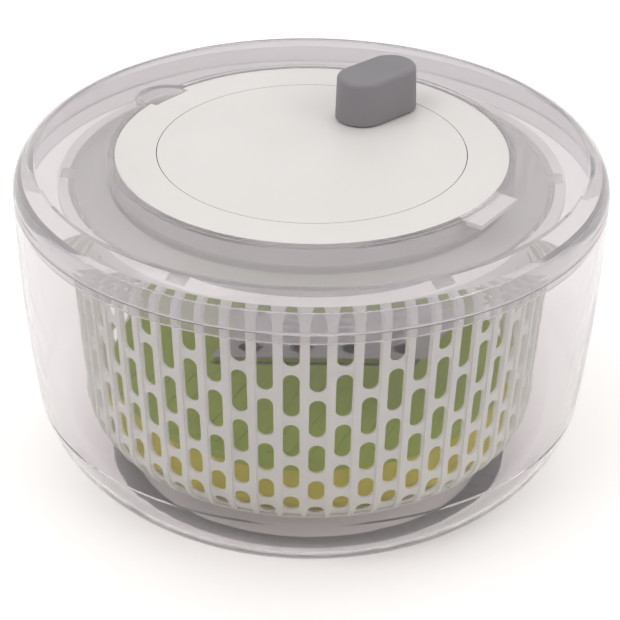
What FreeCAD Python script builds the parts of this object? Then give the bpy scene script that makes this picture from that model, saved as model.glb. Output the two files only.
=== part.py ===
import FreeCAD, Part
import math
import os
import Sketcher

# Salad spinner: a clear bowl and lid, a slotted basket with two grater inserts
# stacked in it, and a gear module in the lid that a small crank knob turns.
# Millimetres, +Z up, origin on the table under the middle of the bowl,
# front of the spinner towards -Y.

DOC = FreeCAD.newDocument("salad_spinner")
SHEET = DOC.addObject("Spreadsheet::Sheet", "Sizes")
ROWS = []
PIECES = []


# ---------------------------------------------------------------- sizes
class Size:
    """A number together with the sheet formula that gives it."""

    def __init__(self, number, formula):
        self.number = float(number)
        self.formula = formula

    def joined(self, other, symbol, number):
        return Size(number, "(%s %s %s)" % (self.formula, symbol, formula_of(other)))

    def __add__(self, other):
        return self.joined(other, "+", self.number + number_of(other))

    def __sub__(self, other):
        return self.joined(other, "-", self.number - number_of(other))

    def __mul__(self, other):
        return self.joined(other, "*", self.number * number_of(other))

    def __truediv__(self, other):
        return self.joined(other, "/", self.number / number_of(other))

    def __neg__(self):
        return Size(-self.number, "(0 - %s)" % self.formula)


def number_of(value):
    return value.number if isinstance(value, Size) else float(value)


def formula_of(value):
    return value.formula if isinstance(value, Size) else repr(float(value))


def cell_of(value):
    """A number as it is, or the formula that ties a size to others in the same sheet."""
    return "=" + value.formula.replace("Sizes.", "") if isinstance(value, Size) else str(value)


def size(name, value, note):
    """Write one size into the sheet and return it. A tied size can be overwritten by a number."""
    ROWS.append(name)
    row = len(ROWS)
    SHEET.set("A%d" % row, name)
    SHEET.set("B%d" % row, cell_of(value))
    SHEET.set("C%d" % row, note)
    SHEET.setAlias("B%d" % row, name)
    return Size(number_of(value), "Sizes." + name)


# Running and seating clearances
running_gap = size("running_gap", 0.06, "radial gap of a shaft in its bush")
thrust_gap = size("thrust_gap", 0.05, "end gap where one piece bears on another")
loose_gap = size("loose_gap", 0.4, "gap between moulded pieces that move past each other")
seat_gap = size("seat_gap", 0.3, "gap under a piece that lifts off")
past = size("past", 1, "how far a cut runs past the face it opens")
bend_share = size("bend_share", 0.7, "share of a wall that lies across and up at a bend")

# Bowl
bowl_rim_radius = size("bowl_rim_radius", 132.5, "outer radius of the bowl at its rim")
bowl_height = size("bowl_height", 138, "rim of the bowl above the table")
bowl_base_radius = size("bowl_base_radius", 93.5, "outer radius of the flat base")
bowl_wall = size("bowl_wall", 2.5, "wall of the bowl")
bowl_floor = size("bowl_floor", 3.5, "floor of the bowl")
bowl_draft = size("bowl_draft", 7.3, "how far the wall leans in down to the corner")
bowl_bulge = size("bowl_bulge", 2.1, "how far in the wall is at mid height")
bowl_corner_height = size("bowl_corner_height", 40, "height of the rounded bottom corner")
bowl_bend_out = size("bowl_bend_out", 0.63, "share of the corner's width at its bend")
bowl_bend_up = size("bowl_bend_up", 0.4, "share of the corner's height at its bend")
foot_height = size("foot_height", 3, "height of the non-slip ring")
foot_proud = size("foot_proud", 1, "non-slip ring below the base of the bowl")
foot_outer = size("foot_outer", 92.5, "outer radius of the non-slip ring")
foot_inner = size("foot_inner", 82.5, "inner radius of the non-slip ring")
post_radius = size("post_radius", 6, "centre post that the basket turns on")
post_height = size("post_height", 19.95, "top of the centre post above the table")
post_root = size("post_root", 12, "radius of the post where it meets the floor")
post_flare = size("post_flare", 4.2, "height of the post's widened root")

# Basket
basket_gap = size("basket_gap", 17, "room between the basket rim and the bowl wall")
basket_lift = size("basket_lift", 20, "underside of the basket above the table")
basket_wall = size("basket_wall", 2.2, "wall of the basket at its bars")
basket_floor = size("basket_floor", 2.4, "floor of the basket")
rim_flange = size("rim_flange", 2.6, "how far the rim stands out of the wall")
rim_thickness = size("rim_thickness", 2.4, "thickness of the rim flange")
basket_draft = size("basket_draft", 6.9, "how far the wall leans in down to the corner")
basket_corner = size("basket_corner", 25, "height of the rounded bottom corner")
basket_corner_run = size("basket_corner_run", 15.5, "how far in the corner runs")
basket_bend_in = size("basket_bend_in", 0.3, "share of the corner's run at its bend")
basket_bend_up = size("basket_bend_up", 0.33, "share of the corner's height at its bend")
slot_columns = size("slot_columns", 60, "columns of slots round the basket")
column_phase = size("column_phase", 266, "direction of the first column from +X")
slot_width = size("slot_width", 7.1, "width of each slot")
slot_bridge = size("slot_bridge", 3.6, "bridge between slots in a column")
slot_top_drop = size("slot_top_drop", 9, "top of the slots below the rim")
slot_foot = size("slot_foot", 2, "lowest bridge above the underside")
slot_first = size("slot_first", 26, "first bridge below the top of the slots")
slot_spans = size("slot_spans", 5, "spaces below the first bridge")
slot_shrink = size("slot_shrink", 4.5, "how much shorter each lower space is")
slot_round = size("slot_round", 0.4, "largest share of a slot that each round end takes")
wall_foot = size("wall_foot", 1.5, "slotted band above the floor of the basket")
groove_foot = size("groove_foot", 2, "plain wall below the grooves")
groove_depth = size("groove_depth", 0.8, "how far the bridges sit behind the bars")
groove_width = size("groove_width", 8.1, "width of each column of bridges between the bars")
hub_wall = size("hub_wall", 2.4, "wall of the basket hub")
cap_wall = size("cap_wall", 1.94, "wall of the bearing cap")
cap_skirt = size("cap_skirt", 9.5, "lower edge of the bearing cap above the table")
drain_width = size("drain_width", 5, "width of the slots in the basket floor")
drain_count = size("drain_count", 24, "slots in each ring of the basket floor")
drain_hub_gap = size("drain_hub_gap", 21.3, "floor between the hub and the slots")
drain_ring_gap = size("drain_ring_gap", 9.7, "floor between the two rings of slots")
drain_edge_gap = size("drain_edge_gap", 7.7, "floor outside the slots")

# Lid
lid_rise = size("lid_rise", 16.7, "top of the lid above its lower edge")
lid_wall = size("lid_wall", 2.4, "wall of the lid")
lid_edge_band = size("lid_edge_band", 3.2, "upright band at the lower edge of the lid")
lid_shoulder = size("lid_shoulder", 10, "width of the rounded shoulder")
shoulder_bulge_out = size("shoulder_bulge_out", 2.1, "how far the shoulder bows out")
shoulder_bulge_up = size("shoulder_bulge_up", 1.6, "how far the shoulder bows up")
skirt_drop = size("skirt_drop", 6.3, "locating skirt below the edge of the lid")
skirt_wall = size("skirt_wall", 1.5, "wall of the locating skirt")
skirt_gap = size("skirt_gap", 1.3, "gap between the skirt and the bowl rim")
skirt_groove = size("skirt_groove", 5, "depth of the groove outside the skirt, above the band")
groove_lean = size("groove_lean", 0.5, "how far that groove narrows")
collar_wall = size("collar_wall", 2.4, "wall of the collar round the module")
collar_proud = size("collar_proud", 0.7, "bead of the collar above the lid")
ledge_width = size("ledge_width", 3.6, "ledge that the module sits on")
ledge_wall = size("ledge_wall", 2.2, "thickness of that ledge")
notch_radius = size("notch_radius", 12.5, "radius of the finger notch")
notch_depth = size("notch_depth", 5.5, "depth of the finger notch")
notch_azimuth = size("notch_azimuth", 141, "direction of the finger notch from +X")
notch_inset = size("notch_inset", 1, "middle of the notch inside the edge of the module")
notch_bite = size("notch_bite", 4, "how far the notch is cut into the top ring")
notch_bite_width = size("notch_bite_width", 22, "width of that cut")

# Gear module
module_radius = size("module_radius", 87.3, "outer radius of the white top ring")
module_depth = size("module_depth", 11.5, "depth of the gear module")
module_gap = size("module_gap", 0.7, "gap between the module and the collar")
module_wall = size("module_wall", 2, "walls and floor of the module")
housing_inset = size("housing_inset", 0.8, "housing inside the edge of the top ring")
hub_clear = size("hub_clear", 1, "hub of the housing above the drive cover")
ring_plate = size("ring_plate", 2, "thickness of the white top ring")
ring_width = size("ring_width", 18.65, "width of the white top ring round the disc")
disc_radius = size("disc_radius", module_radius - ring_width, "radius of the crank disc")
disc_plate = size("disc_plate", 2.2, "thickness of the crank disc")
disc_flange = size("disc_flange", 2.8, "flange of the disc held under the ring")
flange_drop = size("flange_drop", 3.8, "underside of the disc flange below its top")
screw_inset = size("screw_inset", 8.3, "module screws inside the edge of the module")
screw_ring = size("screw_ring", module_radius - screw_inset, "radius of the circle of module screws")
screw_radius = size("screw_radius", 1.4, "radius of the module screws")
boss_radius = size("boss_radius", 3.4, "bosses that take the screws")
boss_root = size("boss_root", 0.5, "how far a boss runs into its plate")
screw_head = size("screw_head", 1.5, "height of the heads of the module screws")
screw_head_radius = size("screw_head_radius", 2.7, "radius of those heads")
screw_cover = size("screw_cover", 1, "material over the blind screw holes")
screw_tip_gap = size("screw_tip_gap", 0.2, "tip of a screw below the end of its hole")
screw_count = size("screw_count", 4, "screws in each set")
lug_azimuth = size("lug_azimuth", -34, "direction of the retaining lug from +X")
lug_width = size("lug_width", 30, "width of the retaining lug")
lug_reach = size("lug_reach", 10, "how far the lug reaches out")
lug_thickness = size("lug_thickness", 2, "thickness of the lug")

# Gears
gear_room = size("gear_room", 0.975, "room between the ring gear and the bosses of its screws")
sun_teeth = size("sun_teeth", 18, "teeth of the centre gear")
planet_teeth = size("planet_teeth", 27, "teeth of each idler gear")
planet_count = size("planet_count", 3, "idler gears")
face_width = size("face_width", 4.9, "width of the gear teeth")
gear_rise = size("gear_rise", 0.6, "underside of the gears above the module floor")
tooth_slack = size("tooth_slack", 0.08, "material left off each tooth flank")
dedendum = size("dedendum", 1.25, "depth of a tooth space below the pitch circle, in modules")
pressure_angle = size("pressure_angle", 20, "pressure angle of the teeth in degrees")
gear_rim = size("gear_rim", 5, "rim of the ring gear behind its teeth")
ring_teeth = sun_teeth + planet_teeth * 2
tooth_module = size(
    "tooth_module",
    (disc_radius - boss_radius * 2 - gear_rim - gear_room) / (ring_teeth / 2 + dedendum),
    "gear module")
planet_pin = size("planet_pin", 3, "radius of the idler pins")
planet_boss = size("planet_boss", 2, "width of the shoulder round each idler pin")
pin_proud = size("pin_proud", 0.8, "idler pins above their gears")
sun_shaft = size("sun_shaft", 5, "radius of the drive shaft")
shaft_flat = size("shaft_flat", 1.2, "depth of the two flats on the shaft")
shaft_short = size("shaft_short", 0.6, "end of the shaft inside the cover's hub")
bush_wall = size("bush_wall", 2.4, "wall of the drive bush")
bush_flange = size("bush_flange", 1.6, "flange of the drive bush")

# Drive cover
cover_gap = size("cover_gap", 2.7, "gap between the drive cover and the basket")
cover_plate = size("cover_plate", 2, "thickness of the drive cover")
cover_drop = size("cover_drop", 2.9, "top of the drive cover below the module")
lug_count = size("lug_count", 6, "driving lugs of the cover")
drive_lug_width = size("drive_lug_width", 9, "width of each driving lug")
cover_hub = size("cover_hub", 9, "radius of the hub of the cover")
cover_hub_depth = size("cover_hub_depth", 5.2, "hub below the plate of the cover")
cover_hub_rise = size("cover_hub_rise", 0.6, "hub above the plate of the cover")
washer_inset = size("washer_inset", 2, "washer inside the edge of the hub")
washer_thickness = size("washer_thickness", 1, "thickness of the drive washer")
drive_head = size("drive_head", 2.4, "height of the drive screw's head")
drive_head_radius = size("drive_head_radius", 4.2, "radius of that head")
drive_chamfer = size("drive_chamfer", 0.9, "chamfer of that head")
drive_thread = size("drive_thread", 12, "length of the drive screw in the shaft")

# Knob
knob_inset = size("knob_inset", 18.95, "knob inside the edge of the disc")
knob_distance = size("knob_distance", disc_radius - knob_inset, "knob from the middle of the disc")
knob_azimuth = size("knob_azimuth", 54.3, "direction of the knob from +X")
knob_turn = size("knob_turn", 42.5, "direction of the long side of the knob")
knob_radius = size("knob_radius", 12, "end radius of the knob")
knob_straight = size("knob_straight", 18, "straight length between the knob's ends")
knob_height = size("knob_height", 20.3, "height of the knob")
knob_taper = size("knob_taper", 1.5, "draft of the knob in degrees")
knob_edge = size("knob_edge", 2, "rounding of the knob's top edge")
knob_gap = size("knob_gap", 1, "knob above the disc")
knob_pin = size("knob_pin", 4, "radius of the knob's pin")
knob_bush_wall = size("knob_bush_wall", 2.6, "wall of the knob's bush")
knob_bush_height = size("knob_bush_height", 14.6, "height of the knob's bush")
pin_boss = size("pin_boss", 4, "width of the raised pad round the knob's pin")
pin_base = size("pin_base", 1.2, "thickness of the pin's foot under the disc")
pin_base_width = size("pin_base_width", 2, "how far that foot stands out")
pin_lip = size("pin_lip", 1, "how far the pin's snap lip stands out")
pin_lip_end = size("pin_lip_end", 0.2, "how far the end of that lip stands out")
pin_lip_height = size("pin_lip_height", 1.6, "height of the snap lip")

# Inserts
insert_gap = size("insert_gap", 12.3, "insert rim inside the basket wall")
insert_wall = size("insert_wall", 2.2, "walls of the inserts")
yellow_top = size("yellow_top", 46, "top face of the lower insert above the table")
yellow_skirt = size("yellow_skirt", 15, "height of the lower insert's wall")
yellow_lip = size("yellow_lip", 2.5, "outward lip of the lower insert")
insert_foot_inset = size("insert_foot_inset", 6.5, "feet inside the wall of the lower insert")
green_rim = size("green_rim", 3.7, "rim of the upper insert")
insert_plate = size("insert_plate", 2.4, "plates of the inserts")
blade_sheet = size("blade_sheet", 0.6, "thickness of the steel plates")
blade_length = size("blade_length", 100, "length of the steel plates")
blade_depth = size("blade_depth", 50, "depth of the steel plates")
blade_lean = size("blade_lean", 21.2, "how far the plates' ends lean over their depth")
blade_front = size("blade_front", 4, "front edge of the plates in front of the middle")
blade_seat = size("blade_seat", 4, "ledge under the edge of each steel plate")
blade_gap = size("blade_gap", 0.15, "gap between a steel plate and the end of its seat")
slot_band = size("slot_band", 6, "width of the open slot in front of the plate")
band_inset = size("band_inset", 2, "ends of that slot inside the ends of the plate")
ridge_pitch = size("ridge_pitch", 9, "pitch of the ridges on the front half")
ridge_width = size("ridge_width", 1.6, "width of each ridge")
ridge_height = size("ridge_height", 0.6, "height of each ridge")
ridge_margin = size("ridge_margin", 6, "ridges inside the edge of the insert")
ridge_setback = size("ridge_setback", 3, "ridges in front of the open slot")
tooth_pitch = size("tooth_pitch", 24, "pitch of the coarse cutting holes")
tooth_row = size("tooth_row", 15, "pitch of the rows of coarse holes")
tooth_hole = size("tooth_hole", 6, "radius of the coarse holes")
tooth_rise = size("tooth_rise", 2.6, "height of the coarse cutting edges")
hood_lap = size("hood_lap", 0.4, "how far a cutting edge reaches past the middle of its hole")
hole_margin = size("hole_margin", 3, "plain sheet round the field of holes")
fine_pitch = size("fine_pitch", 8, "pitch of the fine holes")
fine_hole = size("fine_hole", 1.3, "radius of the fine holes")
fine_rise = size("fine_rise", 0.9, "height of the fine cutting edges")
fine_edge = size("fine_edge", 0.3, "width of the fine cutting edges")

# Worked-out levels and radii that several pieces share
basket_rim_radius = bowl_rim_radius - bowl_wall - basket_gap
basket_wall_radius = basket_rim_radius - rim_flange
lid_edge = bowl_height + seat_gap
lid_top = lid_edge + lid_rise
module_floor = lid_top - module_depth
gear_low = module_floor + module_wall + gear_rise
gear_high = gear_low + face_width
flange_low = lid_top - flange_drop
cover_top = module_floor - cover_drop
cover_low = cover_top - cover_plate
basket_top = cover_top + loose_gap
basket_inner = basket_wall_radius - basket_wall
cover_radius = basket_inner - cover_gap
hub_bore = post_radius + running_gap + cap_wall + running_gap
planet_distance = tooth_module * (sun_teeth + planet_teeth) / 2
insert_radius = basket_wall_radius - basket_draft - insert_gap
insert_bottom = basket_lift + basket_floor + seat_gap
green_bottom = yellow_top + seat_gap
green_top = green_bottom + green_rim
blade_back = blade_depth - blade_front
cover_hub_low = cover_low - cover_hub_depth
disc_screw_ring = disc_radius - boss_radius
ring_flange_low = flange_low - module_wall
knob_low = lid_top + knob_gap
screw_tip = lid_top - screw_cover - screw_tip_gap


# ---------------------------------------------------------------- sketch and feature helpers
class Via:
    """A point that the edge between two corners bends through."""

    def __init__(self, across, up):
        self.across = across
        self.up = up


def plane_of(body, role):
    for feature in body.Origin.OriginFeatures:
        if feature.Role == role:
            return feature
    raise ValueError("no origin plane " + role)


def new_body(label):
    body = DOC.addObject("PartDesign::Body", label)
    body.Label = label
    return body


def new_sketch(body, role, level=None):
    sketch = body.newObject("Sketcher::SketchObject", body.Name + "_sketch")
    sketch.AttachmentSupport = [(plane_of(body, role), "")]
    sketch.MapMode = "FlatFace"
    if level is not None:
        sketch.AttachmentOffset = FreeCAD.Placement(
            FreeCAD.Vector(0, 0, number_of(level)), FreeCAD.Rotation())
        sketch.setExpression("AttachmentOffset.Base.z", formula_of(level))
    return sketch


def pin_coordinate(sketch, kind, axis, geometry, end, value):
    """Fix one coordinate of a sketch point to a size."""
    number = number_of(value)
    if abs(number) < 1e-9:
        sketch.addConstraint(Sketcher.Constraint("PointOnObject", geometry, end, axis))
        return
    if number > 0:
        ends = (-1, 1, geometry, end)
    else:
        ends = (geometry, end, -1, 1)
    index = sketch.addConstraint(Sketcher.Constraint(kind, *ends, abs(number)))
    sign = "" if number > 0 else "0 - "
    sketch.setExpression("Constraints[%d]" % index, sign + formula_of(value))


def pin_point(sketch, geometry, end, across, up):
    pin_coordinate(sketch, "DistanceX", -2, geometry, end, across)
    pin_coordinate(sketch, "DistanceY", -1, geometry, end, up)


def outline(sketch, corners):
    """Draw a closed outline; an edge with a Via after its first corner is an arc."""
    edges = []
    spots = [corner for corner in corners if not isinstance(corner, Via)]
    position = -1
    for index, corner in enumerate(corners):
        if isinstance(corner, Via):
            continue
        position += 1
        start = FreeCAD.Vector(number_of(corner[0]), number_of(corner[1]), 0)
        after = spots[(position + 1) % len(spots)]
        stop = FreeCAD.Vector(number_of(after[0]), number_of(after[1]), 0)
        follower = corners[(index + 1) % len(corners)]
        if isinstance(follower, Via):
            middle = FreeCAD.Vector(number_of(follower.across), number_of(follower.up), 0)
            arc = Part.Arc(start, middle, stop)
            edge = sketch.addGeometry(arc, False)
            begins_at_start = sketch.getPoint(edge, 1).distanceToPoint(start) < 1e-6
            edges.append((edge, 1 if begins_at_start else 2, corner, follower))
        else:
            edges.append((sketch.addGeometry(Part.LineSegment(start, stop), False), 1, corner, None))
    for index, (edge, first, corner, bend) in enumerate(edges):
        next_edge, next_first = edges[(index + 1) % len(edges)][:2]
        sketch.addConstraint(Sketcher.Constraint("Coincident", edge, 3 - first, next_edge, next_first))
        pin_point(sketch, edge, first, corner[0], corner[1])
        if bend is not None:
            point = sketch.addGeometry(
                Part.Point(FreeCAD.Vector(number_of(bend.across), number_of(bend.up), 0)), True)
            pin_point(sketch, point, 1, bend.across, bend.up)
            sketch.addConstraint(Sketcher.Constraint("PointOnObject", point, 1, edge))


def circle(sketch, across, up, radius):
    centre = FreeCAD.Vector(number_of(across), number_of(up), 0)
    ring = sketch.addGeometry(Part.Circle(centre, FreeCAD.Vector(0, 0, 1), number_of(radius)), False)
    index = sketch.addConstraint(Sketcher.Constraint("Radius", ring, number_of(radius)))
    sketch.setExpression("Constraints[%d]" % index, formula_of(radius))
    pin_point(sketch, ring, 3, across, up)


def spin(body, corners):
    """Revolve an outline, drawn as (radius, height), about the upright axis."""
    sketch = new_sketch(body, "XZ_Plane")
    outline(sketch, corners)
    feature = body.newObject("PartDesign::Revolution", body.Name + "_turned")
    feature.Profile = sketch
    feature.ReferenceAxis = (sketch, ["V_Axis"])
    feature.Angle = 360
    body.Tip = feature
    return feature


def extrude(body, kind, draw, low, high):
    """Pad or pocket a sketch between two heights."""
    level = high if kind == "Pocket" else low
    sketch = new_sketch(body, "XY_Plane", level)
    draw(sketch)
    feature = body.newObject("PartDesign::" + kind, body.Name + "_" + kind.lower())
    feature.Profile = sketch
    feature.Length = number_of(high) - number_of(low)
    feature.setExpression("Length", "%s - %s" % (formula_of(high), formula_of(low)))
    body.Tip = feature
    return feature


def around(body, features, count):
    """Repeat features evenly round the upright axis."""
    pattern = body.newObject("PartDesign::PolarPattern", body.Name + "_pattern")
    pattern.Originals = features
    pattern.Axis = (plane_of(body, "Z_Axis"), [""])
    pattern.Angle = 360
    pattern.Occurrences = int(number_of(count))
    pattern.setExpression("Occurrences", formula_of(count))
    body.Tip = pattern
    return pattern


def at_azimuth(radius, azimuth):
    """Across and up of a point at a radius and a direction, both from the sheet."""
    angle = math.radians(number_of(azimuth))
    across = Size(number_of(radius) * math.cos(angle),
                  "(%s * cos(%s * 1 deg))" % (formula_of(radius), formula_of(azimuth)))
    up = Size(number_of(radius) * math.sin(angle),
              "(%s * sin(%s * 1 deg))" % (formula_of(radius), formula_of(azimuth)))
    return across, up


def turned_box(sketch, near, far, width, azimuth):
    """A rectangle that runs out from near to far along a direction."""
    corners = []
    for reach, side in ((near, -0.5), (far, -0.5), (far, 0.5), (near, 0.5)):
        along = at_azimuth(reach, azimuth)
        beside = at_azimuth(width * side, azimuth + 90)
        corners.append((along[0] + beside[0], along[1] + beside[1]))
    outline(sketch, corners)


def keep(piece):
    PIECES.append(piece)
    return piece


# ---------------------------------------------------------------- bowl
def bowl():
    body = new_body("bowl")
    rim = bowl_rim_radius
    inner_rim = rim - bowl_wall
    corner = rim - bowl_draft
    mid_height = bowl_corner_height + (bowl_height - bowl_corner_height) / 2
    floor_top = foot_proud + bowl_floor
    bend_radius = bowl_base_radius + (corner - bowl_base_radius) * bowl_bend_out
    bend_height = foot_proud + (bowl_corner_height - foot_proud) * bowl_bend_up
    spin(body, [
        (0, foot_proud), (foot_inner, foot_proud),
        (foot_inner, foot_height), (foot_outer, foot_height),
        (foot_outer, foot_proud), (bowl_base_radius, foot_proud),
        Via(bend_radius, bend_height),
        (corner, bowl_corner_height),
        Via(rim - bowl_bulge, mid_height),
        (rim, bowl_height), (inner_rim, bowl_height),
        Via(inner_rim - bowl_bulge, mid_height),
        (corner - bowl_wall, bowl_corner_height),
        Via(bend_radius - bowl_wall * bend_share, bend_height + bowl_wall * bend_share),
        (bowl_base_radius, floor_top), (post_root, floor_top),
        (post_radius, floor_top + post_flare),
        (post_radius, post_height), (0, post_height),
    ])
    keep(body)


def non_slip_foot_ring():
    body = new_body("non_slip_foot_ring")
    spin(body, [(foot_inner, 0), (foot_outer, 0), (foot_outer, foot_height), (foot_inner, foot_height)])
    keep(body)


def pivot_cap():
    body = new_body("pivot_cap")
    bore = post_radius + running_gap
    bore_top = post_height + thrust_gap
    spin(body, [
        (0, bore_top), (bore, bore_top), (bore, cap_skirt),
        (bore + cap_wall, cap_skirt), (bore + cap_wall, bore_top + cap_wall), (0, bore_top + cap_wall),
    ])
    keep(body)


# ---------------------------------------------------------------- basket
def bridge_heights():
    """Heights of the bridges in the two kinds of column, top down."""
    spans = int(slot_spans.number)
    top = number_of(basket_top - slot_top_drop - slot_first)
    mean = (top - number_of(basket_lift + slot_foot)) / spans
    levels = [top]
    for index in range(spans):
        levels.append(levels[-1] - mean - slot_shrink.number * ((spans - 1) / 2 - index))
    between = [(above + below) / 2 for above, below in zip(levels, levels[1:])]
    return levels[:-1], between


def basket_blank():
    """The basket before its wall is slotted: floor, hub, wall and notched rim."""
    body = new_body("basket_blank")
    corner = basket_wall_radius - basket_draft
    corner_height = basket_lift + basket_corner
    base = corner - basket_corner_run
    floor_top = basket_lift + basket_floor
    bend = corner - basket_corner_run * basket_bend_in
    bend_height = basket_lift + basket_corner * basket_bend_up
    hub = hub_bore + hub_wall
    hub_top = post_height + thrust_gap * 2 + cap_wall
    spin(body, [
        (hub, cap_skirt), (hub, basket_lift), (base, basket_lift),
        Via(bend, bend_height),
        (corner, corner_height), (basket_wall_radius, basket_top - rim_thickness),
        (basket_rim_radius, basket_top - rim_thickness), (basket_rim_radius, basket_top),
        (basket_inner, basket_top), (basket_inner, basket_top - rim_thickness),
        (corner - basket_wall, corner_height),
        Via(bend - basket_wall * bend_share, bend_height + basket_wall * bend_share),
        (base, floor_top), (hub, floor_top),
        (hub, hub_top + hub_wall), (0, hub_top + hub_wall),
        (0, hub_top), (hub_bore, hub_top), (hub_bore, cap_skirt),
    ])
    cut_drain_slots(body, hub, base)
    cut_rim_notches(body)
    return body


def cut_drain_slots(body, hub, base):
    """Two rings of radial slots in the basket floor."""
    length = (base - hub - drain_hub_gap - drain_ring_gap - drain_edge_gap) / 2
    half = drain_width / 2
    first = hub + drain_hub_gap
    for start in (first, first + length + drain_ring_gap):
        near = start + half
        far = start + length - half

        def draw(sketch):
            outline(sketch, [(near, half), (far, half), Via(far + half, 0),
                             (far, -half), (near, -half), Via(start, 0)])
        pocket = extrude(body, "Pocket", draw, basket_lift - past, basket_lift + basket_floor + past)
        around(body, [pocket], drain_count)


def cut_rim_notches(body):
    """Seats in the rim for the lugs of the drive cover."""
    def draw(sketch):
        half = drive_lug_width / 2 + loose_gap
        near = basket_inner - past
        far = basket_rim_radius - rim_flange / 2
        outline(sketch, [(near, half), (far, half), (far, -half), (near, -half)])
    pocket = extrude(body, "Pocket", draw, cover_low - loose_gap, basket_top + past)
    around(body, [pocket], lug_count)


def upright_slot(low, high):
    """A prism with round ends that runs outwards from the axis along +X."""
    half = slot_width.number / 2
    rise = min(half, (high - low) * slot_round.number)
    corners = [FreeCAD.Vector(0, side, level) for side, level in (
        (-half, low + rise), (0, low), (half, low + rise),
        (half, high - rise), (0, high), (-half, high - rise))]
    edges = [
        Part.Arc(corners[0], corners[1], corners[2]).toShape(),
        Part.makeLine(corners[2], corners[3]),
        Part.Arc(corners[3], corners[4], corners[5]).toShape(),
        Part.makeLine(corners[5], corners[0]),
    ]
    return Part.Face(Part.Wire(edges)).extrude(FreeCAD.Vector(number_of(basket_rim_radius), 0, 0))


def column_slots(bridges):
    """The slots of one column, which lie above its first bridge and between the others."""
    half = slot_bridge.number / 2
    slots = []
    high = number_of(basket_top - slot_top_drop)
    for bridge in bridges:
        slots.append(upright_slot(bridge + half, high))
        high = bridge - half
    return slots


def wall_band():
    """Lowest and highest level of the slotted band of the wall."""
    low = number_of(basket_lift + basket_floor + wall_foot)
    high = number_of(basket_top - slot_top_drop + slot_bridge + past)
    return low, high


def wall_room():
    """Radii that the slotted wall lies between."""
    return number_of(basket_wall_radius) / 2, number_of(basket_rim_radius + past)


def upright_window(low, high):
    """A sheet in the plane of the section, between two levels and outside the hub."""
    near, far = wall_room()
    corners = [FreeCAD.Vector(x, 0, z) for x, z in ((near, low), (far, low), (far, high), (near, high))]
    return Part.Face(Part.makePolygon(corners + corners[:1]))


def wall_column(section, bridges):
    """One flat-faced column of the wall, mitred to its neighbours, without its two cut ends."""
    axis = FreeCAD.Vector(0, 0, 1)
    half_step = math.radians(180 / slot_columns.number)
    reach = wall_room()[1]
    spread = reach * math.tan(half_step)
    beyond = past.number
    low, high = wall_band()
    wide = FreeCAD.Vector(0, 2 * spread, 0)
    slab = section.translated(wide * -0.5).extrude(wide)
    wedge_corners = [FreeCAD.Vector(0, 0, low - beyond), FreeCAD.Vector(reach, -spread, low - beyond),
                     FreeCAD.Vector(reach, spread, low - beyond)]
    wedge = Part.Face(Part.makePolygon(wedge_corners + wedge_corners[:1]))
    column = slab.common(wedge.extrude(FreeCAD.Vector(0, 0, high - low + 2 * beyond)))
    outside = section.translated(FreeCAD.Vector(basket_wall.number - groove_depth.number, 0, 0))
    recess = outside.common(upright_window(low + groove_foot.number, high - beyond))
    across = FreeCAD.Vector(0, groove_width.number, 0)
    cutters = [recess.translated(across * -0.5).extrude(across)]
    cutters += column_slots(bridges)
    column = column.cut(cutters)
    ends = [FreeCAD.Rotation(axis, math.degrees(turn)).multVec(FreeCAD.Vector(0, 1, 0))
            for turn in (half_step, -half_step)]
    return [face for face in column.Faces if not lies_on(face, ends)]


def lies_on(face, normals):
    """True where a flat face lies in an upright plane through the axis."""
    middle = face.CenterOfMass
    for normal in normals:
        if isinstance(face.Surface, Part.Plane) and abs(middle.dot(normal)) < 1e-4:
            return True
    return False


def slotted_wall(blank):
    """The band of wall with the slots: two columns are cut, then set round the axis."""
    axis = FreeCAD.Vector(0, 0, 1)
    step = 360 / slot_columns.number
    section = blank.Shape.common(upright_window(*wall_band()))
    faces = []
    for kind, bridges in enumerate(bridge_heights()):
        skin = wall_column(section, bridges)
        for turn in range(int(slot_columns.number / 2)):
            angle = step * (2 * turn + kind) + column_phase.number
            faces += [face.rotated(FreeCAD.Vector(), axis, angle) for face in skin]
    shell = Part.Compound(faces)
    shell.sewShape()
    return Part.Solid(shell.Shells[0])


def basket():
    blank = basket_blank()
    DOC.recompute()
    wall = DOC.addObject("Part::Feature", "basket_wall")
    wall.Shape = slotted_wall(blank)
    low, high = wall_band()
    room = DOC.addObject("Part::Feature", "basket_wall_room")
    near, far = wall_room()
    outer = Part.makeCylinder(far, high - low, FreeCAD.Vector(0, 0, low))
    inner = Part.makeCylinder(near, high - low, FreeCAD.Vector(0, 0, low))
    room.Shape = outer.cut(inner)
    ends = DOC.addObject("Part::Cut", "basket_ends")
    ends.Base = blank
    ends.Tool = room
    whole = DOC.addObject("Part::MultiFuse", "basket_fused")
    whole.Label = "basket"
    whole.Shapes = [ends, wall]
    whole.Refine = False
    keep(whole)


# ---------------------------------------------------------------- grater inserts
def leaning_outline(sketch, front, back, margin):
    """A four-sided outline between two depths, with ends that lean like the steel plates."""
    lean = blade_lean / blade_depth
    stretch = Size(math.hypot(1, lean.number), "sqrt(1 + %s ^ 2)" % lean.formula)
    half = blade_length / 2 - stretch * margin
    centre = blade_front
    low = (front + blade_front) * lean
    high = (back + blade_front) * lean
    outline(sketch, [
        (centre - half + low, front), (centre + half + low, front),
        (centre + half + high, back), (centre - half + high, back),
    ])


def cut_plate_seat(body, top):
    """The opening under a steel plate and the shallow seat round it."""
    extrude(body, "Pocket", lambda sketch: leaning_outline(sketch, -blade_front, blade_back, 0),
            top - blade_sheet, top + past)
    front = blade_seat - blade_front
    back = blade_back - blade_seat
    extrude(body, "Pocket", lambda sketch: leaning_outline(sketch, front, back, blade_seat),
            top - insert_plate - past, top)


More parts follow.
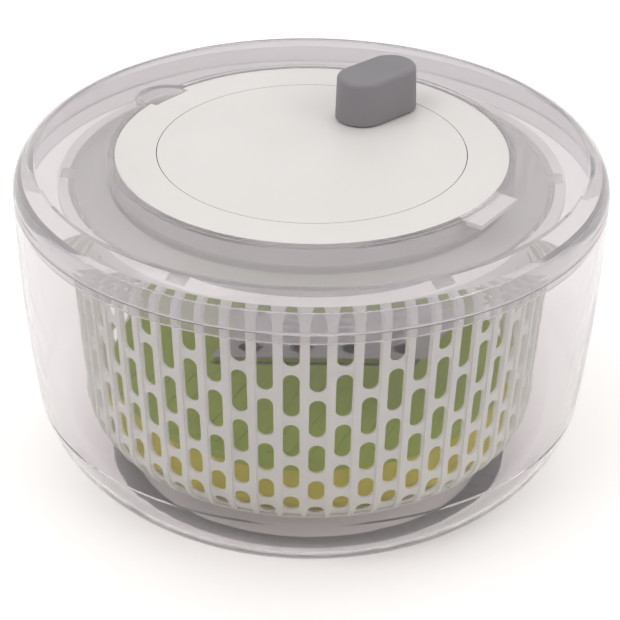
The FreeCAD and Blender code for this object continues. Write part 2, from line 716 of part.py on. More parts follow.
def yellow_frame():
    body = new_body("yellow_frame")
    radius = insert_radius
    inner = radius - insert_wall
    low = yellow_top - yellow_skirt
    foot = radius - insert_foot_inset
    spin(body, [
        (0, yellow_top - insert_plate), (inner, yellow_top - insert_plate), (inner, low),
        (foot, low), (foot, low - insert_plate), (foot, insert_bottom),
        (foot + insert_wall, insert_bottom), (foot + insert_wall, low - insert_plate),
        (radius + yellow_lip, low - insert_plate), (radius + yellow_lip, low),
        (radius, low), (radius, yellow_top), (0, yellow_top),
    ])
    cut_plate_seat(body, yellow_top)
    keep(body)


def ridges(top):
    """Parallel ridges on the front half of the upper insert, as one tool shape."""
    lean = math.degrees(math.atan2(blade_depth.number, blade_lean.number))
    reach = number_of(insert_radius) * 2
    count = int(reach / ridge_pitch.number)
    low = top - ridge_height.number
    height = ridge_height.number * 2
    field = Part.makeCylinder(number_of(insert_radius - ridge_margin), height, FreeCAD.Vector(0, 0, low))
    front = -number_of(blade_front + slot_band + ridge_setback)
    behind = Part.makeBox(reach, reach, height, FreeCAD.Vector(-reach / 2, front, low))
    front_half = field.cut(behind)
    bars = []
    for index in range(-count // 2, count // 2 + 1):
        bar = Part.makeBox(reach, ridge_width.number, height,
                           FreeCAD.Vector(-reach / 2, -ridge_width.number / 2, low))
        bar.rotate(FreeCAD.Vector(), FreeCAD.Vector(0, 0, 1), lean)
        bar.translate(FreeCAD.Vector(index * ridge_pitch.number, 0, 0))
        bars.append(bar.common(front_half))
    return Part.makeCompound(bars)


def green_frame():
    body = new_body("green_plate")
    radius = insert_radius
    inner = radius - insert_wall
    spin(body, [
        (0, green_top - insert_plate), (inner, green_top - insert_plate), (inner, green_bottom),
        (radius, green_bottom), (radius, green_top), (0, green_top),
    ])
    cut_plate_seat(body, green_top)
    band_front = -blade_front - slot_band
    extrude(body, "Pocket", lambda sketch: leaning_outline(sketch, band_front, -blade_front, band_inset),
            green_top - insert_plate - past, green_top + past)
    bars = DOC.addObject("Part::Feature", "green_ridges")
    bars.Shape = ridges(number_of(green_top))
    whole = DOC.addObject("Part::MultiFuse", "green_fused")
    whole.Label = "green_frame"
    whole.Shapes = [body, bars]
    keep(whole)


def plate_blank(label, top):
    body = new_body(label)
    extrude(body, "Pad", lambda sketch: leaning_outline(sketch, -blade_front, blade_back, blade_gap),
            top - blade_sheet, top)
    return body


def plate_spots(pitch, row, margin):
    """Centres of a staggered field of holes inside the leaning plate."""
    lean = blade_lean.number / blade_depth.number
    front = -blade_front.number
    spots = []
    rows = int((blade_depth.number - 2 * margin) / row)
    columns = int((blade_length.number - 2 * margin) / pitch)
    first_row = front + (blade_depth.number - rows * row) / 2
    for line in range(rows + 1):
        depth = first_row + line * row
        count = columns + 1 - line % 2
        start = blade_front.number - (count - 1) * pitch / 2 + (depth - front) * lean
        spots += [(start + index * pitch, depth) for index in range(count)]
    return spots


def hood(across, depth, top):
    """A half dome of sheet that stands over the back of a round hole."""
    radius = tooth_hole.number
    rise = tooth_rise.number
    sheet = blade_sheet.number
    ball_radius = (radius * radius + rise * rise) / (2 * rise)
    centre = FreeCAD.Vector(across, depth, top + rise - ball_radius)
    dome = Part.makeSphere(ball_radius, centre).cut(Part.makeSphere(ball_radius - sheet, centre))
    lap = hood_lap.number
    back_half = Part.makeBox(2 * radius, radius + lap, rise + sheet,
                             FreeCAD.Vector(across - radius, depth - lap, top - sheet))
    return dome.common(back_half)


def coarse_grater_plate():
    level = number_of(green_top)
    blank = plate_blank("coarse_plate_blank", green_top)
    spots = plate_spots(tooth_pitch.number, tooth_row.number, tooth_hole.number + hole_margin.number)
    sheet = blade_sheet.number
    holes = DOC.addObject("Part::Feature", "coarse_holes")
    holes.Shape = Part.makeCompound([
        Part.makeCylinder(tooth_hole.number - sheet, 4 * sheet, FreeCAD.Vector(x, y, level - 2 * sheet))
        for x, y in spots])
    hoods = DOC.addObject("Part::Feature", "coarse_edges")
    hoods.Shape = Part.makeCompound([hood(x, y, level) for x, y in spots])
    bored = DOC.addObject("Part::Cut", "coarse_bored")
    bored.Base = blank
    bored.Tool = holes
    whole = DOC.addObject("Part::MultiFuse", "coarse_fused")
    whole.Label = "coarse_grater_plate"
    whole.Shapes = [bored, hoods]
    keep(whole)


def fine_grater_plate():
    level = number_of(yellow_top)
    blank = plate_blank("fine_plate_blank", yellow_top)
    spots = plate_spots(fine_pitch.number, fine_pitch.number, blade_seat.number + hole_margin.number)
    sheet = blade_sheet.number
    foot = fine_hole.number + fine_rise.number
    lip = fine_hole.number + fine_edge.number
    collars = DOC.addObject("Part::Feature", "fine_collars")
    collars.Shape = Part.makeCompound([
        Part.makeCone(foot, lip, fine_rise.number + sheet / 2, FreeCAD.Vector(x, y, level - sheet / 2))
        for x, y in spots])
    raised = DOC.addObject("Part::MultiFuse", "fine_raised")
    raised.Shapes = [blank, collars]
    holes = DOC.addObject("Part::Feature", "fine_holes")
    depth = fine_rise.number + sheet
    holes.Shape = Part.makeCompound([
        Part.makeCylinder(fine_hole.number, 2 * depth, FreeCAD.Vector(x, y, level - depth))
        for x, y in spots])
    whole = DOC.addObject("Part::Cut", "fine_cut")
    whole.Label = "fine_grater_plate"
    whole.Base = raised
    whole.Tool = holes
    keep(whole)


# ---------------------------------------------------------------- lid
def lid_shell():
    body = new_body("lid_shell")
    rim = bowl_rim_radius
    edge = lid_edge
    band = edge + lid_edge_band
    flat = rim - lid_shoulder
    bore = module_radius + module_gap
    collar = bore + collar_wall
    under = lid_top - lid_wall
    skirt = rim - bowl_wall - skirt_gap
    mid_radius = rim - lid_shoulder / 2
    mid_height = band + (lid_top - band) / 2
    groove_top = band + skirt_groove
    spin(body, [
        (rim, edge), (rim, band), Via(mid_radius + shoulder_bulge_out, mid_height + shoulder_bulge_up),
        (flat, lid_top), (collar, lid_top), (collar, lid_top + collar_proud),
        (bore, lid_top + collar_proud), (bore, module_floor), (bore - ledge_width, module_floor),
        (bore - ledge_width, module_floor - ledge_wall), (collar, module_floor - ledge_wall),
        (collar, under), (flat, under), (skirt - skirt_wall, mid_height),
        (skirt - skirt_wall, edge - skirt_drop), (skirt, edge - skirt_drop), (skirt, groove_top),
        (rim - lid_wall - groove_lean, groove_top), (rim - lid_wall, band), (rim - lid_wall, edge),
    ])
    add_finger_notch(body)
    slot_top = under - loose_gap / 2
    lug_room = lug_width + loose_gap * 2
    extrude(body, "Pocket",
            lambda sketch: turned_box(sketch, bore - ledge_width, collar + past, lug_room, lug_azimuth),
            slot_top - lug_thickness - loose_gap, slot_top)
    keep(body)


def add_finger_notch(body):
    """A half-round dish beside the module, where a finger can lift it."""
    centre = at_azimuth(module_radius - notch_inset, notch_azimuth)
    bore = module_radius + module_gap
    outer = notch_radius + lid_wall

    def cup(sketch):
        circle(sketch, centre[0], centre[1], outer)
    extrude(body, "Pad", cup, lid_top - notch_depth - lid_wall, lid_top - lid_wall / 2)
    extrude(body, "Pocket", lambda sketch: circle(sketch, 0, 0, bore),
            lid_top - notch_depth - lid_wall - past, lid_top + past)
    extrude(body, "Pocket", lambda sketch: circle(sketch, centre[0], centre[1], notch_radius),
            lid_top - notch_depth, lid_top + collar_proud + past)


def mechanism_housing():
    body = new_body("mechanism_housing")
    outer = module_radius - housing_inset
    inner = outer - module_wall
    floor_top = module_floor + module_wall
    wall_top = lid_top - ring_plate
    guide = disc_radius + disc_flange + loose_gap
    hub = sun_shaft + running_gap + bush_wall
    hub_outer = hub + module_wall
    hub_low = cover_top + hub_clear
    spin(body, [
        (hub, hub_low), (hub_outer, hub_low), (hub_outer, module_floor), (outer, module_floor),
        (outer, wall_top), (inner, wall_top), (inner, floor_top),
        (guide + module_wall, floor_top), (guide + module_wall, flange_low + disc_flange / 2),
        (guide, flange_low + disc_flange / 2), (guide, floor_top), (hub, floor_top),
    ])
    for index in range(int(planet_count.number)):
        centre = at_azimuth(planet_distance, Size(360, "360") / planet_count * index)
        extrude(body, "Pad", lambda sketch: circle(sketch, centre[0], centre[1], planet_pin + planet_boss),
                module_floor, gear_low - thrust_gap * 2)
        extrude(body, "Pocket", lambda sketch: circle(sketch, centre[0], centre[1], planet_pin),
                module_floor - past, gear_low + past)
    hole = extrude(body, "Pocket", lambda sketch: circle(sketch, screw_ring, 0, screw_radius),
                   module_floor - past, floor_top + past)
    around(body, [hole], screw_count)
    top = lid_top - lid_wall - loose_gap
    extrude(body, "Pad",
            lambda sketch: turned_box(sketch, inner + boss_root, outer + lug_reach, lug_width, lug_azimuth),
            top - lug_thickness, top)
    keep(body)


def mechanism_ring():
    body = new_body("mechanism_ring")
    bore = disc_radius + loose_gap
    low = lid_top - ring_plate
    spin(body, [(bore, low), (module_radius, low), (module_radius, lid_top), (bore, lid_top)])
    boss = extrude(body, "Pad", lambda sketch: circle(sketch, screw_ring, 0, boss_radius),
                   module_floor + module_wall, low + boss_root)
    around(body, [boss], screw_count)
    hole = extrude(body, "Pocket", lambda sketch: circle(sketch, screw_ring, 0, screw_radius),
                   module_floor + module_wall - past, lid_top - screw_cover)
    around(body, [hole], screw_count)
    extrude(body, "Pocket",
            lambda sketch: turned_box(sketch, module_radius - notch_bite, module_radius + past,
                                      notch_bite_width, notch_azimuth),
            low - past, lid_top + past)
    keep(body)


def screw_set(label, ring, seat):
    """A ring of pan-head screws that go in from below and seat at one level."""
    body = new_body(label)
    body.AllowCompound = True
    head = extrude(body, "Pad", lambda sketch: circle(sketch, ring, 0, screw_head_radius),
                   seat - screw_head, seat)
    shank = extrude(body, "Pad", lambda sketch: circle(sketch, ring, 0, screw_radius), seat, screw_tip)
    around(body, [head, shank], screw_count)
    keep(body)


def housing_screws():
    screw_set("housing_screws", screw_ring, module_floor)


def planet_pins():
    body = new_body("planet_pins")
    body.AllowCompound = True
    pin = extrude(body, "Pad", lambda sketch: circle(sketch, planet_distance, 0, planet_pin),
                  module_floor, gear_high + pin_proud)
    around(body, [pin], planet_count)
    keep(body)


def drive_bush():
    body = new_body("drive_bush")
    bore = sun_shaft + running_gap
    outer = bore + bush_wall
    floor_top = module_floor + module_wall
    hub_low = cover_top + hub_clear
    flange_top = gear_low - thrust_gap * 2
    spin(body, [
        (bore, hub_low), (outer, hub_low), (outer, floor_top),
        (outer + bush_flange, floor_top), (outer + bush_flange, flange_top), (bore, flange_top),
    ])
    keep(body)


# ---------------------------------------------------------------- gears
def involute_angle(radius, base_radius):
    pressure = math.acos(min(1.0, base_radius / radius))
    return math.tan(pressure) - pressure


def gear_outline(teeth, tip, root, slack):
    """Closed outline of a spur gear with involute flanks and one tooth on +X."""
    pitch_radius = tooth_module.number * teeth / 2
    base_radius = pitch_radius * math.cos(math.radians(pressure_angle.number))
    half_tooth = math.pi / (2 * teeth) - slack / pitch_radius
    start = max(base_radius + tooth_slack.number, root)
    edges = []
    loop_point = None
    first_point = None

    def spot(radius, angle):
        return FreeCAD.Vector(radius * math.cos(angle), radius * math.sin(angle), 0)

    def flank_angle(radius):
        return half_tooth + involute_angle(pitch_radius, base_radius) - involute_angle(radius, base_radius)

    for tooth in range(teeth):
        middle = 2 * math.pi * tooth / teeth
        steps = [start + (tip - start) * share / 4 for share in range(5)]
        rising = [spot(radius, middle - flank_angle(radius)) for radius in steps]
        falling = [spot(radius, middle + flank_angle(radius)) for radius in reversed(steps)]
        foot_in = spot(root, middle - flank_angle(start))
        foot_out = spot(root, middle + flank_angle(start))
        if loop_point is None:
            first_point = foot_in
        else:
            gap = middle - math.pi / teeth
            edges.append(Part.Arc(loop_point, spot(root, gap), foot_in).toShape())
        if start > root + 1e-6:
            edges.append(Part.makeLine(foot_in, rising[0]))
        else:
            rising[0] = foot_in
            falling[-1] = foot_out
        edges.append(curve_through(rising))
        edges.append(Part.Arc(rising[-1], spot(tip, middle), falling[0]).toShape())
        edges.append(curve_through(falling))
        if start > root + 1e-6:
            edges.append(Part.makeLine(falling[-1], foot_out))
        loop_point = foot_out
    edges.append(Part.Arc(loop_point, spot(root, -math.pi / teeth), first_point).toShape())
    return Part.Wire(edges)


def curve_through(points):
    curve = Part.BSplineCurve()
    curve.interpolate(points)
    return curve.toShape()


def gear_solid(name, teeth, tip, root, slack, low, high):
    feature = DOC.addObject("Part::Feature", name)
    face = Part.Face(gear_outline(int(teeth.number), tip, root, slack))
    face.translate(FreeCAD.Vector(0, 0, number_of(low)))
    feature.Shape = face.extrude(FreeCAD.Vector(0, 0, number_of(high) - number_of(low)))
    return feature


def spur_gear(name, teeth):
    """Teeth of an external gear that stands on the axis."""
    pitch_radius = tooth_module.number * teeth.number / 2
    tip = pitch_radius + tooth_module.number
    root = pitch_radius - dedendum.number * tooth_module.number
    return gear_solid(name, teeth, tip, root, tooth_slack.number, gear_low, gear_high)


def planet_gears():
    for index in range(int(planet_count.number)):
        number = index + 1
        azimuth = 360 / planet_count.number * index
        teeth = spur_gear("planet_teeth_%d" % number, planet_teeth)
        bore = DOC.addObject("Part::Cylinder", "planet_bore_%d" % number)
        bore.setExpression("Radius", formula_of(planet_pin + running_gap))
        bore.setExpression("Height", formula_of(face_width + past * 2))
        bore.setExpression("Placement.Base.z", formula_of(gear_low - past))
        gear = DOC.addObject("Part::Cut", "planet_cut_%d" % number)
        gear.Label = "planet_gear_%d" % number
        gear.Base = teeth
        gear.Tool = bore
        turn = FreeCAD.Rotation(FreeCAD.Vector(0, 0, 1), azimuth)
        centre = turn.multVec(FreeCAD.Vector(number_of(planet_distance), 0, 0))
        gear.Placement = FreeCAD.Placement(centre, turn)
        keep(gear)


def sun_gear():
    teeth = spur_gear("sun_teeth_solid", sun_teeth)
    shaft = new_body("sun_shaft_body")
    extrude(shaft, "Pad", lambda sketch: circle(sketch, 0, 0, sun_shaft),
            cover_hub_low + shaft_short, gear_low + past)
    for side in (-1, 1):
        def flat(sketch):
            near = (sun_shaft - shaft_flat) * side
            reach = sun_shaft + past
            far = reach * side
            outline(sketch, [(near, -reach), (far, -reach), (far, reach), (near, reach)])
        extrude(shaft, "Pocket", flat, cover_hub_low, cover_top + cover_hub_rise)
    extrude(shaft, "Pocket", lambda sketch: circle(sketch, 0, 0, screw_radius),
            cover_hub_low, cover_hub_low + drive_thread)
    whole = DOC.addObject("Part::MultiFuse", "sun_fused")
    whole.Label = "sun_gear"
    whole.Shapes = [teeth, shaft]
    keep(whole)


def drive_cover():
    body = new_body("drive_cover")
    hub_top = cover_top + cover_hub_rise
    spin(body, [
        (0, cover_hub_low), (cover_hub, cover_hub_low), (cover_hub, cover_low), (cover_radius, cover_low),
        (cover_radius, cover_top), (cover_hub, cover_top), (cover_hub, hub_top), (0, hub_top),
    ])
    reach = basket_rim_radius - rim_flange / 2 - loose_gap

    def lug(sketch):
        half = drive_lug_width / 2
        near = cover_radius - past
        outline(sketch, [(near, -half), (reach, -half), (reach, half), (near, half)])
    pad = extrude(body, "Pad", lug, cover_low, cover_top)
    around(body, [pad], lug_count)

    def shaft_hole(sketch):
        side = sun_shaft - shaft_flat
        tip = Size(math.sqrt(sun_shaft.number ** 2 - side.number ** 2),
                   "sqrt(%s ^ 2 - %s ^ 2)" % (sun_shaft.formula, side.formula))
        outline(sketch, [(side, -tip), (side, tip), Via(0, sun_shaft),
                         (-side, tip), (-side, -tip), Via(0, -sun_shaft)])
    extrude(body, "Pocket", shaft_hole, cover_hub_low - past, hub_top + past)
    keep(body)


def drive_washer():
    body = new_body("drive_washer")
    low = cover_hub_low - washer_thickness
    edge = cover_hub - washer_inset
    spin(body, [(screw_radius, low), (edge, low), (edge, cover_hub_low), (screw_radius, cover_hub_low)])
    keep(body)


def drive_screw():
    body = new_body("drive_screw")
    seat = cover_hub_low - washer_thickness
    low = seat - drive_head
    tip = cover_hub_low + drive_thread - washer_thickness
    spin(body, [
        (0, low), (drive_head_radius - drive_chamfer, low), (drive_head_radius, low + drive_chamfer),
        (drive_head_radius, seat), (screw_radius, seat), (screw_radius, tip), (0, tip),
    ])
    keep(body)


# ---------------------------------------------------------------- crank
def crank_disc():
    body = new_body("crank_disc")
    edge = disc_radius + disc_flange
    solid_from = disc_radius - boss_radius * 2
    flange_top = lid_top - ring_plate - loose_gap
    under = lid_top - disc_plate
    spin(body, [
        (0, under), (solid_from, under), (solid_from, flange_low), (edge, flange_low),
        (edge, flange_top), (disc_radius, flange_top), (disc_radius, lid_top), (0, lid_top),
    ])
    pin = at_azimuth(knob_distance, knob_azimuth)
    extrude(body, "Pad", lambda sketch: circle(sketch, pin[0], pin[1], knob_pin + pin_boss),
            lid_top - boss_root, lid_top + knob_gap / 2)
    extrude(body, "Pocket", lambda sketch: circle(sketch, pin[0], pin[1], knob_pin),
            under - past, lid_top + knob_gap)
    hole = extrude(body, "Pocket", lambda sketch: circle(sketch, disc_screw_ring, 0, screw_radius),
                   flange_low - past, lid_top - screw_cover)
    around(body, [hole], screw_count)
    keep(body)


def ring_gear():
    """Internal teeth, a rim behind them, and a flange screwed under the crank disc."""
    pitch_radius = tooth_module * ring_teeth / 2
    root = pitch_radius + tooth_module * dedendum
    tip = pitch_radius - tooth_module
    spaces = gear_solid("ring_gear_spaces", ring_teeth, root.number, tip.number, -tooth_slack.number,
                        gear_low - past, flange_low + past)
    blank = new_body("ring_gear_blank")
    rim = root + gear_rim
    inner = tip - past
    low = gear_low + thrust_gap * 2
    spin(blank, [
        (inner, low), (rim, low), (rim, ring_flange_low), (disc_radius, ring_flange_low),
        (disc_radius, flange_low), (inner, flange_low),
    ])
    hole = extrude(blank, "Pocket", lambda sketch: circle(sketch, disc_screw_ring, 0, screw_radius),
                   ring_flange_low - past, flange_low + past)
    around(blank, [hole], screw_count)
    whole = DOC.addObject("Part::Cut", "ring_gear_cut")
    whole.Label = "ring_gear"
    whole.Base = blank
    whole.Tool = spaces
    keep(whole)


def ring_gear_screws():
    screw_set("ring_gear_screws", disc_screw_ring, ring_flange_low)


def knob_pin_piece():
    body = new_body("knob_pin")
    under = lid_top - disc_plate
    foot = knob_pin + pin_base_width
    lip_low = knob_low + knob_bush_height + thrust_gap
    lip_top = lip_low + pin_lip_height
    spin(body, [
        (0, under - pin_base), (foot, under - pin_base), (foot, under), (knob_pin, under),
        (knob_pin, lip_low), (knob_pin + pin_lip, lip_low), (knob_pin + pin_lip_end, lip_top), (0, lip_top),
    ])
    place_at_knob(body)
    keep(body)


def place_at_knob(piece, turned=False):
    """Move a piece that was built on the axis to the knob."""
    centre = at_azimuth(knob_distance, knob_azimuth)
    angle = knob_turn.number if turned else 0
    piece.Placement = FreeCAD.Placement(
        FreeCAD.Vector(centre[0].number, centre[1].number, 0),
        FreeCAD.Rotation(FreeCAD.Vector(0, 0, 1), angle))
    piece.setExpression("Placement.Base.x", centre[0].formula)
    piece.setExpression("Placement.Base.y", centre[1].formula)
    if turned:
        piece.setExpression("Placement.Rotation.Angle", knob_turn.formula)


def knob_bush():
    body = new_body("knob_bush")
    bore = knob_pin + running_gap
    outer = bore + knob_bush_wall
    top = knob_low + knob_bush_height
    spin(body, [(bore, knob_low), (outer, knob_low), (outer, top), (bore, top)])
    place_at_knob(body)
    keep(body)


def knob_body():
    body = new_body("knob_body")
    high = knob_low + knob_height

    def footprint(sketch):
        half = knob_straight / 2
        outline(sketch, [
            (-half, -knob_radius), (half, -knob_radius), Via(half + knob_radius, 0),
            (half, knob_radius), (-half, knob_radius), Via(-half - knob_radius, 0),
        ])
    pad = extrude(body, "Pad", footprint, knob_low, high)
    pad.TaperAngle = -knob_taper.number
    pad.setExpression("TaperAngle", "0 - " + knob_taper.formula)
    DOC.recompute()
    top_edges = ["Edge%d" % (index + 1) for index, edge in enumerate(pad.Shape.Edges)
                 if all(abs(vertex.Z - number_of(high)) < 1e-6 for vertex in edge.Vertexes)]
    fillet = body.newObject("PartDesign::Fillet", "knob_round")
    fillet.Base = (pad, top_edges)
    fillet.Radius = knob_edge.number
    fillet.setExpression("Radius", knob_edge.formula)
    body.Tip = fillet
    bush = knob_pin + running_gap + knob_bush_wall
    extrude(body, "Pocket", lambda sketch: circle(sketch, 0, 0, bush),
            knob_low - past, knob_low + knob_bush_height + pin_lip_height + loose_gap)
    place_at_knob(body, turned=True)
    keep(body)


# ---------------------------------------------------------------- build, test and write
BUILDERS = [
    bowl, non_slip_foot_ring, pivot_cap, basket,
    yellow_frame, fine_grater_plate, green_frame, coarse_grater_plate,
    lid_shell, mechanism_housing, mechanism_ring, housing_screws, planet_pins, drive_bush,
    planet_gears, sun_gear, drive_cover, drive_washer, drive_screw,
    crank_disc, ring_gear, ring_gear_screws, knob_pin_piece, knob_bush, knob_body,
]


def test_document():
    """Stop if any object failed or any piece is empty or broken."""
    for thing in DOC.Objects:
        if "Invalid" in thing.State or "Error" in thing.State:
            raise RuntimeError("%s did not build" % thing.Label)
    for piece in PIECES:
        if piece.Shape.isNull() or not piece.Shape.isValid() or not piece.Shape.Solids:
            raise RuntimeError("%s has no sound solid" % piece.Label)


def write_pieces():
    os.makedirs("parts", exist_ok=True)
    for piece in PIECES:
        piece.Shape.exportStep("parts/%s.step" % piece.Label)
        print("%-22s %d solid(s) %9.2f cm3" % (
            piece.Label, len(piece.Shape.Solids), piece.Shape.Volume / 1000))


for build in BUILDERS:
    build()
DOC.recompute()
test_document()
write_pieces()
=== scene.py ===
import math

import bpy
from mathutils import Matrix, Vector

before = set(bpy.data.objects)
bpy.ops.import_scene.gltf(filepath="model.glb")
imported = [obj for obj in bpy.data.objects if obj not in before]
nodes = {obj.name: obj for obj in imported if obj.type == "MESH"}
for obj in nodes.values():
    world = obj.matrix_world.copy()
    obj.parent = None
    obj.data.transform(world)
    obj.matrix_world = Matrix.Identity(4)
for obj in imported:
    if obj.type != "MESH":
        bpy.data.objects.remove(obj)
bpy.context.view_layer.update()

# ---------------------------------------------------------------- material helpers
CLEAR_TINT = (0.925, 0.905, 0.918, 1)
SHADOW_TINT = (0.97, 0.96, 0.965, 1)
CLEAR_IOR = 1.3
BOWL_TINT = (0.885, 0.86, 0.87, 1)
HAZE = (0.78, 0.755, 0.77)
NOISE_LOW = 0.3
NOISE_HIGH = 0.7
GRAIN_DEPTH = 0.0002


def new_material(name):
    material = bpy.data.materials.new(name)
    material.use_nodes = True
    tree = material.node_tree
    shader = tree.nodes["Principled BSDF"]
    return material, tree, shader


def add(tree, kind):
    return tree.nodes.new(kind)


def object_noise(tree, scale, detail=3.0, roughness=0.55):
    coordinates = add(tree, "ShaderNodeTexCoord")
    noise = add(tree, "ShaderNodeTexNoise")
    noise.inputs["Scale"].default_value = scale
    noise.inputs["Detail"].default_value = detail
    noise.inputs["Roughness"].default_value = roughness
    tree.links.new(coordinates.outputs["Object"], noise.inputs["Vector"])
    return noise


def ramp_colour(tree, shader, noise, dark, light):
    ramp = add(tree, "ShaderNodeValToRGB")
    ramp.color_ramp.elements[0].position = NOISE_LOW
    ramp.color_ramp.elements[1].position = NOISE_HIGH
    ramp.color_ramp.elements[0].color = (*dark, 1)
    ramp.color_ramp.elements[1].color = (*light, 1)
    tree.links.new(noise.outputs["Fac"], ramp.inputs["Fac"])
    tree.links.new(ramp.outputs["Color"], shader.inputs["Base Color"])
    return ramp


def vary_colour(tree, shader, dark, light, scale):
    """Base colour that drifts a little between two near tones."""
    return ramp_colour(tree, shader, object_noise(tree, scale), dark, light)


def vary_roughness(tree, shader, low, high, scale):
    noise = object_noise(tree, scale, 5.0)
    span = add(tree, "ShaderNodeMapRange")
    span.inputs["From Min"].default_value = NOISE_LOW
    span.inputs["From Max"].default_value = NOISE_HIGH
    span.inputs["To Min"].default_value = low
    span.inputs["To Max"].default_value = high
    tree.links.new(noise.outputs["Fac"], span.inputs["Value"])
    tree.links.new(span.outputs["Result"], shader.inputs["Roughness"])


def bump_from(tree, shader, noise, strength, distance):
    bump = add(tree, "ShaderNodeBump")
    bump.inputs["Strength"].default_value = strength
    bump.inputs["Distance"].default_value = distance
    tree.links.new(noise.outputs["Fac"], bump.inputs["Height"])
    tree.links.new(bump.outputs["Normal"], shader.inputs["Normal"])


def fine_bump(tree, shader, scale, strength, distance):
    bump_from(tree, shader, object_noise(tree, scale, 4.0), strength, distance)


def moulded(name, dark, light, rough, bump=0.12):
    """Opaque moulded plastic with a fine grain."""
    material, tree, shader = new_material(name)
    vary_colour(tree, shader, dark, light, 14.0)
    vary_roughness(tree, shader, rough - 0.05, rough + 0.06, 60.0)
    fine_bump(tree, shader, 1500.0, bump, GRAIN_DEPTH)
    shader.inputs["IOR"].default_value = 1.48
    return material


def clear(name, tint, rough, haze):
    """Clear moulded plastic: bends light for the eye, lets the lamps through and scatters a share of it."""
    material, tree, shader = new_material(name)
    shader.inputs["Base Color"].default_value = tint
    shader.inputs["Transmission Weight"].default_value = 1.0
    shader.inputs["IOR"].default_value = CLEAR_IOR
    vary_roughness(tree, shader, rough, rough + 0.03, 30.0)
    fine_bump(tree, shader, 9.0, 0.10, 0.004)
    path = add(tree, "ShaderNodeLightPath")
    see_through = add(tree, "ShaderNodeBsdfTransparent")
    see_through.inputs["Color"].default_value = SHADOW_TINT
    scatter = add(tree, "ShaderNodeBsdfTranslucent")
    scatter.inputs["Color"].default_value = (*HAZE, 1)
    glow = add(tree, "ShaderNodeBsdfDiffuse")
    glow.inputs["Color"].default_value = (*HAZE, 1)
    both_sides = add(tree, "ShaderNodeMixShader")
    tree.links.new(scatter.outputs["BSDF"], both_sides.inputs[1])
    tree.links.new(glow.outputs["BSDF"], both_sides.inputs[2])
    hazy = add(tree, "ShaderNodeMixShader")
    hazy.inputs["Fac"].default_value = haze
    tree.links.new(shader.outputs["BSDF"], hazy.inputs[1])
    tree.links.new(both_sides.outputs["Shader"], hazy.inputs[2])
    mix = add(tree, "ShaderNodeMixShader")
    output = tree.nodes["Material Output"]
    tree.links.new(path.outputs["Is Shadow Ray"], mix.inputs["Fac"])
    tree.links.new(hazy.outputs["Shader"], mix.inputs[1])
    tree.links.new(see_through.outputs["BSDF"], mix.inputs[2])
    tree.links.new(mix.outputs["Shader"], output.inputs["Surface"])
    return material


def milky(name, dark, light, rough, glow):
    """Thin translucent plastic: part of the light comes through the wall."""
    material, tree, shader = new_material(name)
    ramp = vary_colour(tree, shader, dark, light, 18.0)
    vary_roughness(tree, shader, rough - 0.04, rough + 0.08, 50.0)
    fine_bump(tree, shader, 900.0, 0.10, GRAIN_DEPTH)
    shader.inputs["IOR"].default_value = 1.49
    through = add(tree, "ShaderNodeBsdfTranslucent")
    tree.links.new(ramp.outputs["Color"], through.inputs["Color"])
    mix = add(tree, "ShaderNodeMixShader")
    mix.inputs["Fac"].default_value = glow
    output = tree.nodes["Material Output"]
    tree.links.new(shader.outputs["BSDF"], mix.inputs[1])
    tree.links.new(through.outputs["BSDF"], mix.inputs[2])
    tree.links.new(mix.outputs["Shader"], output.inputs["Surface"])
    return material


def brushed(name, dark, light, rough, stretch=(1.0, 40.0, 1.0)):
    """Steel sheet brushed along one direction."""
    material, tree, shader = new_material(name)
    coordinates = add(tree, "ShaderNodeTexCoord")
    mapping = add(tree, "ShaderNodeMapping")
    mapping.inputs["Scale"].default_value = stretch
    noise = add(tree, "ShaderNodeTexNoise")
    noise.inputs["Scale"].default_value = 60.0
    noise.inputs["Detail"].default_value = 6.0
    tree.links.new(coordinates.outputs["Object"], mapping.inputs["Vector"])
    tree.links.new(mapping.outputs["Vector"], noise.inputs["Vector"])
    ramp_colour(tree, shader, noise, dark, light)
    bump_from(tree, shader, noise, 0.15, GRAIN_DEPTH)
    shader.inputs["Metallic"].default_value = 1.0
    vary_roughness(tree, shader, rough - 0.06, rough + 0.06, 80.0)
    return material


# ---------------------------------------------------------------- materials of the nodes
white = moulded("white_moulded", (0.685, 0.665, 0.645), (0.725, 0.705, 0.685), 0.38)
grey = moulded("grey_moulded", (0.20, 0.19, 0.205), (0.235, 0.225, 0.24), 0.5, bump=0.2)
acetal = moulded("acetal_moulded", (0.72, 0.71, 0.68), (0.78, 0.77, 0.74), 0.42)
green = milky("green_moulded", (0.46, 0.60, 0.01), (0.52, 0.67, 0.02), 0.35, 0.4)
yellow = milky("yellow_moulded", (0.93, 0.84, 0.01), (0.97, 0.90, 0.02), 0.35, 0.45)
basket_white = milky("basket_moulded", (0.90, 0.90, 0.875), (0.95, 0.95, 0.925), 0.32, 0.4)
lid_clear = clear("lid_clear", CLEAR_TINT, 0.03, 0.2)
bowl_clear = clear("bowl_clear", BOWL_TINT, 0.03, 0.035)
cover_clear = clear("cover_clear", (0.95, 0.94, 0.94, 1), 0.2, 0.35)
rubber = milky("foot_soft", (0.66, 0.65, 0.64), (0.74, 0.73, 0.72), 0.6, 0.3)
steel = brushed("steel_sheet", (0.40, 0.39, 0.40), (0.58, 0.57, 0.58), 0.42)
screw_steel = brushed("steel_turned", (0.45, 0.45, 0.47), (0.60, 0.60, 0.62), 0.3, (20.0, 20.0, 1.0))

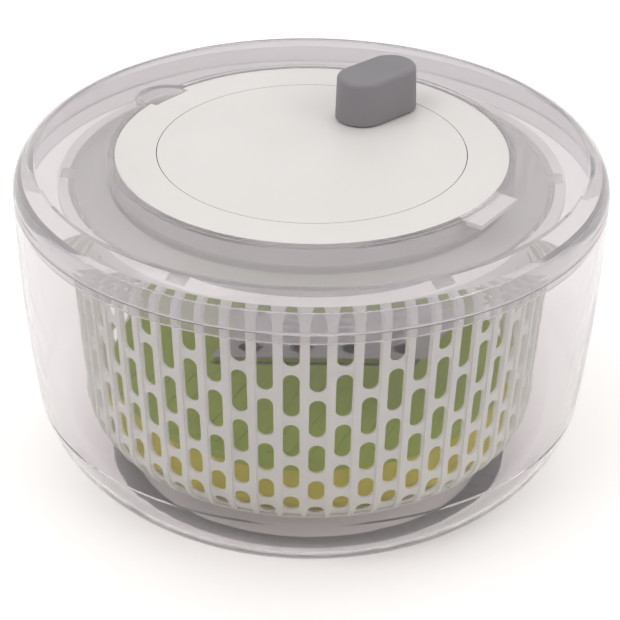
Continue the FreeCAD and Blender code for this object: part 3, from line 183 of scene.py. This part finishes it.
FINISHES = {
    bowl_clear: ["bowl"],
    lid_clear: ["lid_shell"],
    cover_clear: ["drive_cover"],
    rubber: ["non_slip_foot_ring"],
    basket_white: ["basket"],
    yellow: ["yellow_frame"],
    green: ["green_frame"],
    steel: ["coarse_grater_plate", "fine_grater_plate"],
    white: ["mechanism_housing", "mechanism_ring", "crank_disc"],
    grey: ["knob_body"],
    acetal: ["pivot_cap", "drive_bush", "knob_bush", "ring_gear", "sun_gear",
             "planet_gear_1", "planet_gear_2", "planet_gear_3"],
    screw_steel: ["housing_screws", "planet_pins", "ring_gear_screws", "knob_pin",
                  "drive_washer", "drive_screw"],
}
for material, names in FINISHES.items():
    for name in names:
        for slot in nodes[name].material_slots:
            slot.material = material

# ---------------------------------------------------------------- floor and light
FLOOR_REACH = 6.0
FLOOR_DROP = 0.0002
# warm glow colour of the floor: painted fill light that lifts the shade under the bowl and tints it beige
FLOOR_FILL_GLOW = (1.0, 0.93, 0.86, 1)


def make_floor():
    mesh = bpy.data.meshes.new("floor")
    reach = FLOOR_REACH
    mesh.from_pydata([(-reach, -reach, 0), (reach, -reach, 0), (reach, reach, 0), (-reach, reach, 0)],
                     [], [(0, 1, 2, 3)])
    floor = bpy.data.objects.new("floor", mesh)
    bpy.context.scene.collection.objects.link(floor)
    floor.location.z = -FLOOR_DROP
    material, tree, shader = new_material("floor_paper")
    vary_colour(tree, shader, (0.95, 0.95, 0.95), (0.97, 0.97, 0.97), 2.0)
    shader.inputs["Roughness"].default_value = 0.7
    shader.inputs["Specular IOR Level"].default_value = 0.2
    # the floor glows evenly as painted fill light, brightening the shade under and inside the bowl
    shader.inputs["Emission Color"].default_value = FLOOR_FILL_GLOW
    shader.inputs["Emission Strength"].default_value = 0.2
    floor.data.materials.append(material)


def area_lamp(name, place, aim, size, power, colour=(1, 1, 1)):
    lamp = bpy.data.lights.new(name, "AREA")
    lamp.shape = "RECTANGLE"
    lamp.size = size[0]
    lamp.size_y = size[1]
    lamp.energy = power
    lamp.color = colour
    holder = bpy.data.objects.new(name, lamp)
    bpy.context.scene.collection.objects.link(holder)
    holder.location = place
    direction = Vector(aim) - Vector(place)
    holder.rotation_euler = direction.to_track_quat("-Z", "Y").to_euler()


def make_world():
    world = bpy.data.worlds.new("studio")
    bpy.context.scene.world = world
    world.use_nodes = True
    background = world.node_tree.nodes["Background"]
    background.inputs["Color"].default_value = (1.0, 0.99, 0.98, 1)
    background.inputs["Strength"].default_value = 0.72


make_floor()
make_world()
area_lamp("key", (-0.9, -0.5, 1.6), (0, 0, 0.08), (0.9, 0.9), 8)
area_lamp("fill", (1.3, -0.7, 1.0), (0, 0, 0.08), (0.8, 1.0), 4)
area_lamp("back", (0.2, 0.7, 1.9), (0, 0, 0.1), (1.2, 0.8), 6)

# ---------------------------------------------------------------- camera
CAMERA_DISTANCE = 1.1
CAMERA_SENSOR = 36
CAMERA_LENS = 138.7
CAMERA_ELEVATION = math.radians(30.2)
CAMERA_AIM = Vector((0, 0, 0.073))
CAMERA_ROLL = math.radians(0.7)


def make_camera():
    data = bpy.data.cameras.new("camera")
    data.sensor_width = CAMERA_SENSOR
    data.lens = CAMERA_LENS
    camera = bpy.data.objects.new("camera", data)
    bpy.context.scene.collection.objects.link(camera)
    outward = Vector((0, -math.cos(CAMERA_ELEVATION), math.sin(CAMERA_ELEVATION)))
    camera.location = CAMERA_AIM + outward * CAMERA_DISTANCE
    turn = (-outward).to_track_quat("-Z", "Y").to_matrix().to_4x4()
    turn = turn @ Matrix.Rotation(CAMERA_ROLL, 4, "Z")
    camera.rotation_euler = turn.to_euler()
    bpy.context.scene.camera = camera


make_camera()
bpy.context.scene.view_settings.view_transform = "Standard"
